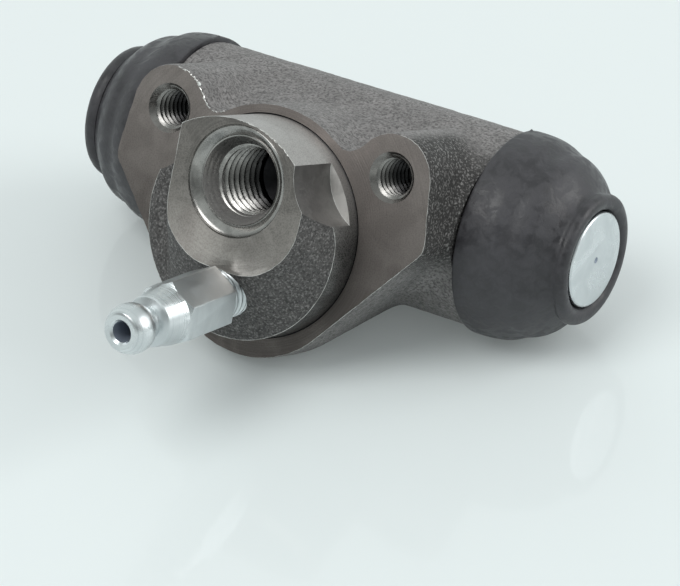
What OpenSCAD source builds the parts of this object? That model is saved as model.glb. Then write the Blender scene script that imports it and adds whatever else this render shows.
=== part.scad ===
// Hydraulic wheel cylinder for a drum brake.
// X runs along the bore, -Y points out of the mounting face, Z is up.
// The origin is the centre of the pilot spigot on the mounting face. Millimetres.

/* [Barrel] */
// Diameter of the honed bore
bore_d = 19.05; // [17.5:0.05:20.6]
// Wall of the cast barrel round the bore
barrel_wall = 3.72; // [3.2:0.05:4.6]
// Length of the cast barrel between the two boot shoulders
barrel_len = 49.2; // [47:0.2:56]
// Wall of the turned spigot under each boot
spigot_wall = 2.4; // [2:0.05:3]
// Length of each turned spigot
spigot_len = 5; // [4.6:0.1:6]
// Width of the bead groove in each spigot
bead_groove_w = 2; // [1.4:0.1:2.4]
// Depth of the bead groove
bead_groove_depth = 0.9; // [0.6:0.05:1.2]
// Distance from the boot shoulder to the bead groove
bead_groove_gap = 1.6; // [1.2:0.1:2]
// Chamfer at each mouth of the bore
bore_chamfer = 0.6; // [0.3:0.05:1]

/* [Mounting flange] */
// Distance from the mounting face back to the bore axis
bore_offset = 20.5; // [20:0.1:22.5]
// Height of the bore axis above the pilot axis
bore_rise = 4.9; // [4:0.1:6]
// Thickness of the flange
flange_t = 5; // [4:0.1:7]
// Distance between the two bolt holes
ear_spacing = 34.9; // [34:0.1:38]
// Height of the bolt holes above the pilot axis
ear_rise = 11.25; // [10:0.05:12.5]
// Radius of the round top of each ear
ear_r = 5.8; // [5.2:0.05:6.4]
// How far the flange shoulder stands outside the bolt hole
shoulder_reach = 6.9; // [6.3:0.05:7.6]
// Height of the flange shoulder above the pilot axis
shoulder_rise = 3.6; // [2.6:0.1:4.6]
// Radius that rounds the shoulder corner
shoulder_r = 1.6; // [1:0.1:2.4]
// Radius of the flange's round foot
foot_r = 14.85; // [14:0.05:15.6]
// Drop of the foot's centre below the pilot axis
foot_drop = 2.65; // [1.6:0.05:4]
// Width of the flange rim above the pilot
rim_w = 1.25; // [0.8:0.05:1.8]
// Half width of the neck where it meets the barrel
neck_half_w = 12; // [10:0.2:14]

/* [Pilot and port boss] */
// Diameter of the turned pilot spigot
pilot_d = 29.1; // [28.4:0.05:30]
// Height of the pilot's rough cast face above the mounting face
pilot_h = 4.9; // [4.2:0.1:6]
// Height of the machined port face above the mounting face
port_h = 10.7; // [9.6:0.1:12]
// Offset of the port along the bore
port_x = 1.4; // [0.4:0.1:2.4]
// Height of the port above the pilot axis
port_z = 6.85; // [6:0.05:7.4]
// Radius of the port face's two lower corners
pad_r = 8.25; // [7.8:0.05:8.6]
// Distance between the centres of those corners
pad_w = 3.95; // [3.4:0.05:4.6]
// Offset of the port face along the bore
pad_x = 1.675; // [1.2:0.025:2.2]
// Height of the corners' centres above the pilot axis
pad_z = 3.3; // [2.8:0.1:4]
// Distance from the pilot axis to the flat side of the port boss
pad_side = 8.4; // [8:0.1:9]

/* [Inlet port] */
// Thread diameter of the inlet port
port_thread_d = 10; // [9:0.1:10.2]
// Thread pitch of the inlet port
port_pitch = 1.25; // [1:0.05:1.5]
// Diameter of the countersink at the port face
port_mouth_d = 14.2; // [13.6:0.1:15]
// Diameter of the sealing counterbore
port_seat_d = 11.7; // [11.2:0.1:12.4]
// Depth of the countersink
port_mouth_h = 1; // [0.6:0.1:1.4]
// Depth of the tapered throat below the countersink
port_throat_h = 2.9; // [2.2:0.1:3.4]
// Depth of the tapped wall
port_wall_len = 9.5; // [8:0.1:11]
// Diameter of the drilled passage to the bore
port_passage_d = 3.2; // [2.4:0.1:4]

/* [Bolt holes] */
// Thread diameter of the bolt holes
bolt_d = 6; // [5.6:0.1:6.4]
// Thread pitch of the bolt holes
bolt_pitch = 1; // [0.8:0.05:1.1]
// Depth of the tapped wall of the bolt holes
bolt_wall_len = 8.8; // [7:0.1:10]
// Depth of the chamfer at the bolt holes
bolt_chamfer = 0.8; // [0.5:0.05:1]
// Diameter of the bolt head clearance cut in the pilot
bolt_clear_d = 16; // [15.4:0.1:16.8]
// Height of the clearance cut above the mounting face
bolt_clear_h = 1.9; // [1.4:0.1:2.6]

/* [Bleeder screw] */
// Offset of the bleeder along the bore
bleed_x = 1.67; // [1:0.01:2.6]
// Drop of the bleeder below the pilot axis at the rough cast face
bleed_drop = 7.3; // [7.1:0.05:7.8]
// Downward tilt of the bleeder
bleed_tilt = 9.2; // [8.6:0.1:9.8]
// Thread diameter of the bleeder
bleed_d = 7; // [6.6:0.1:7.2]
// Depth of the threaded hole below the rough cast face
bleed_depth = 10; // [8:0.1:12]
// Distance from the rough cast face to the hexagon
bleed_gap = 6.7; // [6.6:0.1:7.6]
// Width of the hexagon across its flats
hex_af = 7.7; // [7.4:0.1:8]
// Length of the hexagon
hex_len = 10; // [8:0.1:11]
// Turn of the hexagon about its axis
hex_turn = 26.7; // [0:0.1:60]
// Length of the tapered shoulder in front of the hexagon
bleed_cone_len = 3.6; // [2.8:0.1:4.2]
// Diameter of the tapered shoulder behind the hexagon's chamfer
bleed_cone_d = 7.8; // [7.5:0.05:8]
// Diameter of the tapered shoulder's front
bleed_cone_end_d = 6.5; // [6:0.1:7]
// Diameter of the neck behind the nipple's ball
nipple_neck_d = 4.8; // [4.4:0.1:5.2]
// Length of the neck
nipple_neck_len = 1; // [0.6:0.1:2]
// Diameter of the nipple's ball
nipple_ball_d = 6.5; // [6.2:0.1:6.9]
// Diameter of the hole in the nipple
nipple_hole_d = 2.7; // [2:0.1:3]
// Diameter of the bleed passage
bleed_passage_d = 2.6; // [2.2:0.1:3]

/* [Pistons] */
// Overall length across the two piston faces
overall_len = 76.5; // [75:0.1:82]
// Length of each piston's guided body
piston_guide_len = 15; // [13:0.2:16]
// Distance from the guided body's front to the piston face
piston_nose_len = 10; // [9.6:0.1:10.6]
// Diameter of the piston's nose
nose_d = 12.9; // [12.2:0.1:13.4]
// Thickness of the nose's collar
nose_collar_h = 1.5; // [1.2:0.1:1.8]
// Depth of the boot groove behind the collar
nose_groove_depth = 1.1; // [0.8:0.05:1.4]
// Width of the boot groove
nose_groove_w = 2; // [1.7:0.1:2.3]
// Rounding of the piston's edges
piston_edge_r = 0.4; // [0.2:0.05:0.6]

/* [Boots] */
// How far the boot's skirt stands proud of the barrel
boot_proud = 0.6; // [0.3:0.05:0.9]
// Length of the boot's straight skirt from its big edge to the dome's crown
boot_skirt_len = 1; // [0.6:0.1:1.6]
// Height of the boot's dome
boot_dome_h = 6.5; // [6:0.1:7]
// Length of the boot's dome from its crown
boot_dome_len = 10.2; // [9.8:0.1:10.6]
// Radius of the roll round the piston nose
boot_roll_r = 1.2; // [1:0.05:1.4]
// Wall of the boot
boot_wall = 1.8; // [1.4:0.1:2.1]

/* [Seals and spring] */
// Thickness of the cup seal's base
cup_base_h = 2.6; // [2:0.1:3.2]
// Length of the cup seal's lip
cup_lip_len = 3.4; // [2.6:0.1:4.2]
// Wall of the cup seal's lip
cup_lip_wall = 1.5; // [1.2:0.05:1.9]
// Thickness of the pressed cup expander
expander_t = 0.7; // [0.5:0.05:0.9]
// Mean diameter of the spring's coils
spring_d = 10.6; // [9.6:0.1:11.2]
// Diameter of the spring's wire
wire_d = 1.1; // [0.9:0.05:1.3]
// Number of open turns in the spring
spring_turns = 5; // [4:1:6]

/* [Clearances] */
// Radial running clearance of the pistons in the bore
piston_clear = 0.03; // [0.02:0.005:0.08]
// Radial clearance of the cup seals in the bore
cup_clear = 0.09; // [0.05:0.01:0.1]
// Radial clearance of the bleeder in its hole
bleed_clear = 0.05; // [0.02:0.01:0.1]
// Gap between the rubber and the metal that it seats on
rubber_clear = 0.2; // [0.1:0.05:0.3]

/* [Hidden] */
$fn = 96;

// Depth that a cut runs past the face it opens
over = 1;
// Overlap that fuses two cast volumes
fuse = 0.5;
// How far the raked flank's drawing runs past the port face
skin = 0.05;
// Half angle of a drill point
drill_half_angle = 59;

bore_r = bore_d / 2;
barrel_r = bore_r + barrel_wall;
shoulder_at = barrel_len / 2;
spigot_r = bore_r + spigot_wall;
spigot_end = shoulder_at + spigot_len;
bead_at = shoulder_at + bead_groove_gap;
bead_r = spigot_r - bead_groove_depth;

ear_x = ear_spacing / 2;
pilot_r = pilot_d / 2;
rim_r = pilot_r + rim_w;
shoulder_x = ear_x + shoulder_reach;

port_bore_r = (port_thread_d - port_pitch) / 2;
bolt_bore_r = (bolt_d - bolt_pitch) / 2;
// Step from the countersink into the tapered throat
port_seat_step = 0.3;
port_cone_h = (port_bore_r - port_passage_d / 2) / tan(drill_half_angle);
bolt_cone_h = bolt_bore_r / tan(drill_half_angle);

bleed_hole_r = bleed_d / 2;
bleed_shank_r = bleed_hole_r - bleed_clear;
bleed_seat_h = bleed_hole_r - bleed_passage_d / 2;
hex_sides = 6;
hex_r = hex_af / 2 / cos(180 / hex_sides);
hex_front = bleed_gap + hex_len;
cone_front = hex_front + bleed_cone_len;
// Length of the chamfer from the tapered shoulder down to the neck
neck_step_h = (bleed_cone_end_d - nipple_neck_d) / 4;
neck_front = cone_front + neck_step_h + nipple_neck_len;
ball_r = nipple_ball_d / 2;
ball_at = neck_front + sqrt(ball_r * ball_r - pow(nipple_neck_d / 2, 2));
// Share of the ball's radius at which the nipple's tip is cut flat
nipple_cut = 0.68;
bleed_len = ball_at + ball_r * nipple_cut;
nipple_chamfer = 0.3;
// How far the turned profile stands outside the hexagon's corners
hex_over = 0.25;
// Gap between the screw's cone and its seat when it is closed
seat_gap = 0.1;
cross_hole_r = 0.8;

piston_face = overall_len / 2;
piston_front = piston_face - piston_nose_len;
piston_back = piston_front - piston_guide_len;
piston_r = bore_r - piston_clear;
nose_r = nose_d / 2;
groove_front = piston_face - nose_collar_h;
groove_back = groove_front - nose_groove_w;
groove_r = nose_r - nose_groove_depth;
edge_steps = 6;

boot_r = barrel_r + boot_proud;
boot_crown_at = shoulder_at + rubber_clear + boot_skirt_len;
boot_lip_r = nose_r + rubber_clear;
// Small rounding at the boot's big edge
boot_edge_r = 0.15;
// Angles down from the crown where the dome's outside and inside end
dome_end = 65;
inner_end = 58;
dome_steps = 14;
// Angles round the roll where its outside starts and ends
roll_from = -50;
roll_to = 150;
roll_steps = 10;

cup_r = bore_r - cup_clear;
cup_front = piston_back;
cup_floor = cup_front - cup_base_h;
cup_mouth = cup_floor - cup_lip_len;
cup_edge = 0.5;
expander_r = cup_r - cup_lip_wall - rubber_clear;
expander_flare = cup_lip_wall / 4;
spring_end = cup_floor - expander_t;
hat_r = (spring_d - wire_d) / 2 - rubber_clear;
hat_h = wire_d;

// Gap between the spring and its seat, and between its closed turns
coil_gap = 0.05;
coil_end = spring_end - wire_d / 2 - coil_gap;
coil_steps = 20;
wire_sides = 8;

// Turn a profile drawn as [radius, distance along X] about the bore axis
module about_bore() {
    translate([0, bore_offset, bore_rise]) rotate([0, 90, 0]) rotate_extrude() children();
}

// Cylinder along X on the bore axis
module bore_cylinder(r, from, to) {
    translate([from, bore_offset, bore_rise]) rotate([0, 90, 0]) cylinder(r = r, h = to - from);
}

// Cylinder along Y, from one depth to another, at a place on the mounting face
module face_cylinder(x, z, r, from, to, r2 = undef) {
    far_r = is_undef(r2) ? r : r2;
    translate([x, from, z]) rotate([-90, 0, 0]) cylinder(r1 = r, r2 = far_r, h = to - from);
}

// Turn a hole's profile, drawn as [radius, depth below the mounting face], at a place on that face
module face_hole(x, z) {
    translate([x, 0, z]) rotate([-90, 0, 0]) rotate_extrude() children();
}

// Extrude a drawing of the mounting face, seen as [x, z], from one depth to another
module face_extrude(from, to) {
    translate([0, to, 0]) rotate([90, 0, 0]) linear_extrude(height = to - from) children();
}

// Place a child drawn along +Z on the bleeder's axis, with its zero at the rough cast face
module on_bleeder_axis() {
    translate([bleed_x, -pilot_h, -bleed_drop]) rotate([90 + bleed_tilt, 0, 0]) children();
}

// Repeat a child at both ends of the bore
module both_ends() {
    children();
    mirror([1, 0, 0]) children();
}

// Direction, as an angle, in which the outside tangent of two circles touches both
function tangent_angle(a, ra, b, rb) = atan2(b[1] - a[1], b[0] - a[0]) + acos((ra - rb) / norm(b - a));

// Points along an arc
function arc(c, r, from, to, steps) =
    [for (i = [0 : steps]) let (a = from + (to - from) * i / steps) c + r * [cos(a), sin(a)]];

// Depth behind the mounting face at which a cast ridge of this height runs into the barrel
function barrel_depth(ridge) =
    bore_offset - sqrt(max(0, barrel_r * barrel_r - pow(ridge - bore_rise, 2))) + fuse;

foot_c = [0, -foot_drop];
shoulder_c = [shoulder_x - shoulder_r, shoulder_rise];
ear_c = [ear_x, ear_rise];
foot_angle = tangent_angle(shoulder_c, shoulder_r, foot_c, foot_r);
side_angle = tangent_angle(ear_c, ear_r, shoulder_c, shoulder_r);

// Right ear with its straight outer side and the rounded shoulder below it
module ear_outline() {
    polygon(concat(
        arc(ear_c, ear_r, 180, side_angle, 24),
        arc(shoulder_c, shoulder_r, side_angle, foot_angle, 8),
        [[ear_x - ear_r, shoulder_rise - shoulder_r]]));
}

// Right half of the flange below the ears: the shoulder, the straight edge and the round foot
module flange_wing() {
    polygon(concat(
        [[0, shoulder_rise]],
        arc(shoulder_c, shoulder_r, side_angle, foot_angle, 8),
        arc(foot_c, foot_r, foot_angle, -90, 12)));
}

// Neck that narrows from the flange's foot back to the barrel
module neck() {
    hull() {
        face_extrude(0, flange_t) both_ends() flange_wing();
        bore_cylinder(barrel_r - fuse, -neck_half_w, neck_half_w, $fn = 36);
    }
}

// Saddle between the ears, which runs from the rim above the pilot back to the barrel
module saddle() {
    intersection() {
        face_cylinder(0, 0, rim_r, 0, barrel_depth(rim_r));
        translate([-rim_r, 0, shoulder_rise]) cube([2 * rim_r, bore_offset, rim_r]);
    }
}

// Rough casting behind the mounting face, before it is bored
module casting() {
    bore_cylinder(barrel_r, -shoulder_at, shoulder_at);
    bore_cylinder(spigot_r, -spigot_end, spigot_end);
    saddle();
    face_extrude(0, barrel_depth(ear_rise + ear_r)) both_ends() ear_outline();
    neck();
}

// What is cut off the pilot to leave the flat-sided port boss with its raked cast flank
module port_boss_cut() {
    difference() {
        face_cylinder(0, 0, pilot_r + 2 * over, -port_h - over, -pilot_h);
        intersection() {
            hull() {
                for (side = [-1, 1], z = [pad_z, pilot_r])
                    face_cylinder(pad_x + side * pad_w / 2, z, pad_r, -port_h - skin, -port_h, $fn = 72);
                face_cylinder(0, 0, pilot_r + over, -pilot_h, 0, $fn = 72);
            }
            translate([-pad_side, -port_h - over, -2 * pilot_r])
                cube([4 * pilot_r, port_h + 2 * over, 4 * pilot_r]);
        }
    }
}

// Clearance for the two bolt heads, cut down the pilot's flanks
module bolt_head_cuts() {
    both_ends() face_cylinder(ear_x, ear_rise, bolt_clear_d / 2, -port_h - over, -bolt_clear_h);
}

// Tapped bolt hole with its chamfer and drill point
module bolt_hole() {
    wall_end = bolt_chamfer + bolt_wall_len;
    face_hole(ear_x, ear_rise) polygon([
        [0, -over], [bolt_bore_r + bolt_chamfer + over, -over], [bolt_bore_r, bolt_chamfer],
        [bolt_bore_r, wall_end], [0, wall_end + bolt_cone_h]]);
}

// Inlet port: countersink, tapered throat, tapped wall, drill point and passage to the bore
module inlet_port() {
    throat_at = -port_h + port_mouth_h;
    wall_at = throat_at + port_throat_h;
    wall_end = wall_at + port_wall_len;
    seat_r = port_seat_d / 2;
    mouth_r = port_mouth_d / 2;
    mouth_flare = (mouth_r - seat_r) / port_mouth_h * over;
    face_hole(port_x, port_z) polygon([
        [0, -port_h - over], [mouth_r + mouth_flare, -port_h - over], [seat_r, throat_at],
        [seat_r - port_seat_step, throat_at], [port_bore_r, wall_at],
        [port_bore_r, wall_end], [port_passage_d / 2, wall_end + port_cone_h],
        [port_passage_d / 2, bore_offset], [0, bore_offset]]);
}

// Bleeder hole: threaded wall, conical seat and the passage to the bore
module bleeder_hole() {
    passage_r = bleed_passage_d / 2;
    on_bleeder_axis() rotate_extrude() polygon([
        [0, port_h], [bleed_hole_r, port_h], [bleed_hole_r, -bleed_depth],
        [passage_r, -bleed_depth - bleed_seat_h], [passage_r, -bore_offset - pilot_h],
        [0, -bore_offset - pilot_h]]);
}

// Groove for the boot's bead and the chamfer at one mouth of the bore
module spigot_cuts() {
    about_bore() {
        polygon([[bead_r, bead_at], [spigot_r + over, bead_at], [spigot_r + over, bead_at + bead_groove_w],
                 [bead_r, bead_at + bead_groove_w]]);
        polygon([[bore_r - over, spigot_end - bore_chamfer], [bore_r, spigot_end - bore_chamfer],
                 [bore_r + bore_chamfer, spigot_end], [bore_r + bore_chamfer, spigot_end + over],
                 [bore_r - over, spigot_end + over]]);
    }
}

// Cast iron body
module body() {
    color("#5a5754") difference() {
        union() {
            casting();
            face_cylinder(0, 0, pilot_r, -port_h, fuse);
        }
        port_boss_cut();
        bolt_head_cuts();
        both_ends() bolt_hole();
        inlet_port();
        bleeder_hole();
        bore_cylinder(bore_r, -spigot_end - over, spigot_end + over);
        both_ends() spigot_cuts();
    }
}

// Right piston: guided body, tapered nose, boot groove and collar
module piston_shape() {
    about_bore() polygon([
        [0, piston_back], [piston_r - piston_edge_r, piston_back], [piston_r, piston_back + piston_edge_r],
        [piston_r, piston_front - piston_edge_r], [piston_r - piston_edge_r, piston_front],
        [nose_r, piston_front + (piston_r - nose_r) / 2], [nose_r, groove_back], [groove_r, groove_back],
        [groove_r, groove_front], [nose_r, groove_front],
        each arc([nose_r - piston_edge_r, piston_face - piston_edge_r], piston_edge_r, 0, 90, edge_steps),
        [0, piston_face]]);
}

module right_piston() {
    color("#b9c4cb") piston_shape();
}

module left_piston() {
    color("#b9c4cb") mirror([1, 0, 0]) piston_shape();
}

// Point of the boot's dome, a set depth under its outside, at an angle down from its crown
function dome_point(angle, depth) =
    [boot_r - boot_dome_h + (boot_dome_h - depth) * cos(angle), boot_crown_at + (boot_dome_len - depth) * sin(angle)];

// Right boot: bead, skirt, dome, valley and the roll that grips the piston nose
module boot_shape() {
    edge = shoulder_at + rubber_clear;
    skirt_r = spigot_r + rubber_clear;
    inner_from = asin((spigot_end + rubber_clear - boot_crown_at) / (boot_dome_len - boot_wall));
    roll_c = [boot_lip_r + boot_roll_r, piston_face - boot_roll_r];
    about_bore() polygon([
        [skirt_r, edge], [boot_r - boot_edge_r, edge], [boot_r, edge + boot_edge_r],
        for (i = [0 : dome_steps]) dome_point(dome_end * i / dome_steps, 0),
        each arc(roll_c, boot_roll_r, roll_from, roll_to, roll_steps),
        [boot_lip_r, groove_front - rubber_clear], [groove_r + rubber_clear, groove_front - rubber_clear],
        [groove_r + rubber_clear, groove_back + rubber_clear], [boot_lip_r, groove_back + rubber_clear],
        for (i = [dome_steps : -1 : 0])
            dome_point(inner_from + (inner_end - inner_from) * i / dome_steps, boot_wall),
        [skirt_r, spigot_end + rubber_clear], [skirt_r, bead_at + bead_groove_w - rubber_clear],
        [bead_r + rubber_clear, bead_at + bead_groove_w - rubber_clear],
        [bead_r + rubber_clear, bead_at + rubber_clear], [skirt_r, bead_at + rubber_clear]]);
}

module right_boot() {
    color("#2b2a2e") boot_shape();
}

module left_boot() {
    color("#2b2a2e") mirror([1, 0, 0]) boot_shape();
}

// Right cup seal: flat base against the piston and a lip that faces the fluid
module cup_shape() {
    about_bore() polygon([
        [0, cup_front], [cup_r - cup_edge, cup_front], [cup_r, cup_front - cup_edge], [cup_r, cup_mouth],
        [cup_r - cup_lip_wall / 2, cup_mouth], [cup_r - cup_lip_wall, cup_floor], [0, cup_floor]]);
}

module right_cup_seal() {
    color("#1d1c1f") cup_shape();
}

module left_cup_seal() {
    color("#1d1c1f") mirror([1, 0, 0]) cup_shape();
}

// Right cup expander: a pressed dish whose rim backs the seal's lip and whose hat centres the spring
module expander_shape() {
    rim_at = cup_floor - cup_lip_len / 2;
    about_bore() polygon([
        [hat_r - expander_t, cup_floor], [expander_r, cup_floor], [expander_r + expander_flare, rim_at],
        [expander_r + expander_flare - expander_t, rim_at], [expander_r - expander_t, spring_end],
        [hat_r, spring_end], [hat_r, spring_end - hat_h], [0, spring_end - hat_h],
        [0, spring_end - hat_h + expander_t], [hat_r - expander_t, spring_end - hat_h + expander_t]]);
}

module right_cup_expander() {
    color("#c9b46a") expander_shape();
}

module left_cup_expander() {
    color("#c9b46a") mirror([1, 0, 0]) expander_shape();
}

// Point on the spring's centre line after some turns: a closed turn at each end, open turns between
function coil_x(turn) =
    let (span = 2 * coil_end, rise = wire_d + coil_gap, open = (span - 2 * rise) / spring_turns)
    -coil_end + min(turn, 1) * rise + min(max(turn - 1, 0), spring_turns) * open
    + max(turn - 1 - spring_turns, 0) * rise;

// Ring of points round the wire at one place along the coil
function wire_ring(turn) =
    [for (i = [0 : wire_sides - 1])
        let (a = 360 * i / wire_sides, r = spring_d / 2 + wire_d / 2 * cos(a))
        [coil_x(turn) + wire_d / 2 * sin(a), r * cos(360 * turn), r * sin(360 * turn)]];

// Compression spring between the two cup expanders
module spring() {
    rings = (spring_turns + 2) * coil_steps;
    points = [for (k = [0 : rings]) each wire_ring(k / coil_steps)];
    sides = [for (k = [0 : rings - 1]) for (i = [0 : wire_sides - 1])
        let (j = (i + 1) % wire_sides)
        [k * wire_sides + i, k * wire_sides + j, (k + 1) * wire_sides + j, (k + 1) * wire_sides + i]];
    start = [[for (i = [wire_sides - 1 : -1 : 0]) i]];
    end = [[for (i = [0 : wire_sides - 1]) rings * wire_sides + i]];
    color("#8d9094") translate([0, bore_offset, bore_rise])
        polyhedron(points = points, faces = concat(start, sides, end), convexity = 10);
}

// Outside of the bleeder screw: seat cone, threaded shank, hexagon, tapered shoulder, neck and nipple ball
module bleeder_turning() {
    tip = -bleed_depth + seat_gap;
    corner_r = hex_r + hex_over;
    cone_r = bleed_cone_d / 2;
    neck_r = nipple_neck_d / 2;
    neck_angle = -acos(neck_r / ball_r);
    rotate_extrude() polygon(concat(
        [[0, tip - bleed_seat_h], [bleed_shank_r - bleed_seat_h, tip - bleed_seat_h], [bleed_shank_r, tip],
         [bleed_shank_r, bleed_gap], [corner_r, bleed_gap], [corner_r, hex_front - corner_r + cone_r],
         [cone_r, hex_front], [bleed_cone_end_d / 2, cone_front], [neck_r, cone_front + neck_step_h]],
        arc([0, ball_at], ball_r, neck_angle, asin(nipple_cut), 16),
        [[0, bleed_len]]));
}

// Bleeder screw, turned from hexagon bar and drilled from the nipple to a cross hole above its seat
module bleeder_screw() {
    hole_r = nipple_hole_d / 2;
    cross_at = -bleed_depth + 2 * bleed_seat_h;
    color("#c3cdd2") on_bleeder_axis() difference() {
        intersection() {
            bleeder_turning();
            translate([0, 0, -2 * bleed_depth]) rotate([0, 0, hex_turn])
                cylinder(r = hex_r, h = 2 * bleed_depth + bleed_len + over, $fn = hex_sides);
        }
        rotate_extrude() polygon([
            [0, cross_at], [hole_r, cross_at], [hole_r, bleed_len - nipple_chamfer],
            [hole_r + nipple_chamfer + over, bleed_len + over], [0, bleed_len + over]]);
        translate([0, 0, cross_at + hole_r]) rotate([90, 0, 0])
            cylinder(r = cross_hole_r, h = 2 * bleed_d, center = true);
    }
}

body();
left_piston();
right_piston();
left_boot();
right_boot();
left_cup_seal();
right_cup_seal();
left_cup_expander();
right_cup_expander();
spring();
bleeder_screw();
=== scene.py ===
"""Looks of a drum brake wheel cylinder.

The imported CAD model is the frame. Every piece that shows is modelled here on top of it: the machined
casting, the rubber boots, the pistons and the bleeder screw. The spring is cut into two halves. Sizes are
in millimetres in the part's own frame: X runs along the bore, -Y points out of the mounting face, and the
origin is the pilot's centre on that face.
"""

import logging
import math
from collections.abc import Callable, Iterable, Sequence
from dataclasses import dataclass
from enum import Enum
from functools import cache
from typing import Self

import bmesh
import bpy
from bpy.types import Material, Mesh, MeshPolygon, Node, NodeSocket, NodeTree, Object
from mathutils import Matrix, Vector, noise

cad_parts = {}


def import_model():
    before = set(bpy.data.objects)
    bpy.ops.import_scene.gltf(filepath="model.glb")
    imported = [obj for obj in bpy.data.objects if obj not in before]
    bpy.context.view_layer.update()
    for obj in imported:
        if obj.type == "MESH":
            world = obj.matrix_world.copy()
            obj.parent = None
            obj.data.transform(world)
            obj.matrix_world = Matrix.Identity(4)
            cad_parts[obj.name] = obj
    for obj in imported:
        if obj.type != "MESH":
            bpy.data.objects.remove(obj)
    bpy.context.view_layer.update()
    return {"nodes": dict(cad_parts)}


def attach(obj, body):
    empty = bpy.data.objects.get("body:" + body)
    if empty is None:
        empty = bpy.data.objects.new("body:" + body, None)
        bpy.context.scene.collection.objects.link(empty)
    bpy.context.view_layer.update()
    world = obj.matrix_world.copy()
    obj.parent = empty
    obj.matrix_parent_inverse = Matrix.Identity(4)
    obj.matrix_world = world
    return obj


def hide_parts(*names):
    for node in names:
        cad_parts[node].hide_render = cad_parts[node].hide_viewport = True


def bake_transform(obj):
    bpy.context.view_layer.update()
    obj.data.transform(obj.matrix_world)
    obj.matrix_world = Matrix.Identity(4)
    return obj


LOG = logging.getLogger("wheel_cylinder")
MM = 0.001
FULL_TURN = 2 * math.pi

Pair = tuple[float, float]
Triple = tuple[float, float, float]
Profile = list[Pair]
Picker = Callable[[MeshPolygon], bool]


class End(Enum):
    """End of the bore that a piece belongs to."""

    LEFT = -1
    RIGHT = 1

    @property
    def word(self) -> str:
        """Name of the end as the nodes and bodies spell it."""
        return self.name.lower()


class Cut(Enum):
    """How one solid acts on another."""

    TAKE_AWAY = "DIFFERENCE"
    ADD = "UNION"
    KEEP_COMMON = "INTERSECT"


class Places:
    """Matrices that put a shape drawn along +Z where it belongs."""

    BORE_Y = 20.5
    BORE_Z = 4.9
    BLEEDER = (1.67, -4.9, -7.3)
    BLEEDER_TILT = math.radians(99.2)

    @classmethod
    def bore(cls) -> Matrix:
        """Returns: the place of a shape turned about the bore, with +Z along +X."""
        centre = Vector((0, cls.BORE_Y, cls.BORE_Z)) * MM
        return Matrix.Translation(centre) @ Matrix.Rotation(math.pi / 2, 4, "Y")

    @classmethod
    def face(cls, x: float, z: float) -> Matrix:
        """Returns: the place of a hole in the mounting face, with +Z into the part.

        Args:
            x: place of its axis along the bore.
            z: height of its axis above the pilot's.
        """
        centre = Vector((x, 0, z)) * MM
        return Matrix.Translation(centre) @ Matrix.Rotation(-math.pi / 2, 4, "X")

    @classmethod
    def bleeder(cls) -> Matrix:
        """Returns: the place of the bleeder screw, with +Z out of the casting."""
        centre = Vector(cls.BLEEDER) * MM
        return Matrix.Translation(centre) @ Matrix.Rotation(cls.BLEEDER_TILT, 4, "X")


@dataclass(frozen=True)
class ThreadForm:
    """Radii and pitch of a thread. A ridge's foot and flank are shares of half a pitch."""

    core: float
    crest: float
    pitch: float
    foot: float = 0.86
    flank: float = 0.62
    rows_per_pitch: int = 12

    def radius(self, phase: float, strength: float) -> float:
        """Returns: the radius at a place on the thread.

        Args:
            phase: place between two roots, from 0 to 1.
            strength: share of the full ridge that is there.
        """
        ridge = min(1.0, max(0.0, (self.foot - abs(2 * phase - 1)) / self.flank))
        return self.core + (self.crest - self.core) * ridge * strength


def polar(radius: float, turn: float, height: float) -> Triple:
    """Returns: a point in metres, for a place round the Z axis.

    Args:
        radius: distance from the axis.
        turn: angle round it.
        height: distance along it.
    """
    return radius * math.cos(turn) * MM, radius * math.sin(turn) * MM, height * MM


def arc(centre: Pair, radii: Pair, first: float, last: float, steps: int) -> Profile:
    """Returns: points of a profile along part of an ellipse.

    Args:
        centre: its centre.
        radii: half its width and half its height.
        first: angle of the first point, in radians.
        last: angle of the last point.
        steps: how many pieces it is cut into.
    """
    angles = [first + (last - first) * step / steps for step in range(steps + 1)]
    return [(centre[0] + radii[0] * math.cos(a), centre[1] + radii[1] * math.sin(a)) for a in angles]


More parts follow.
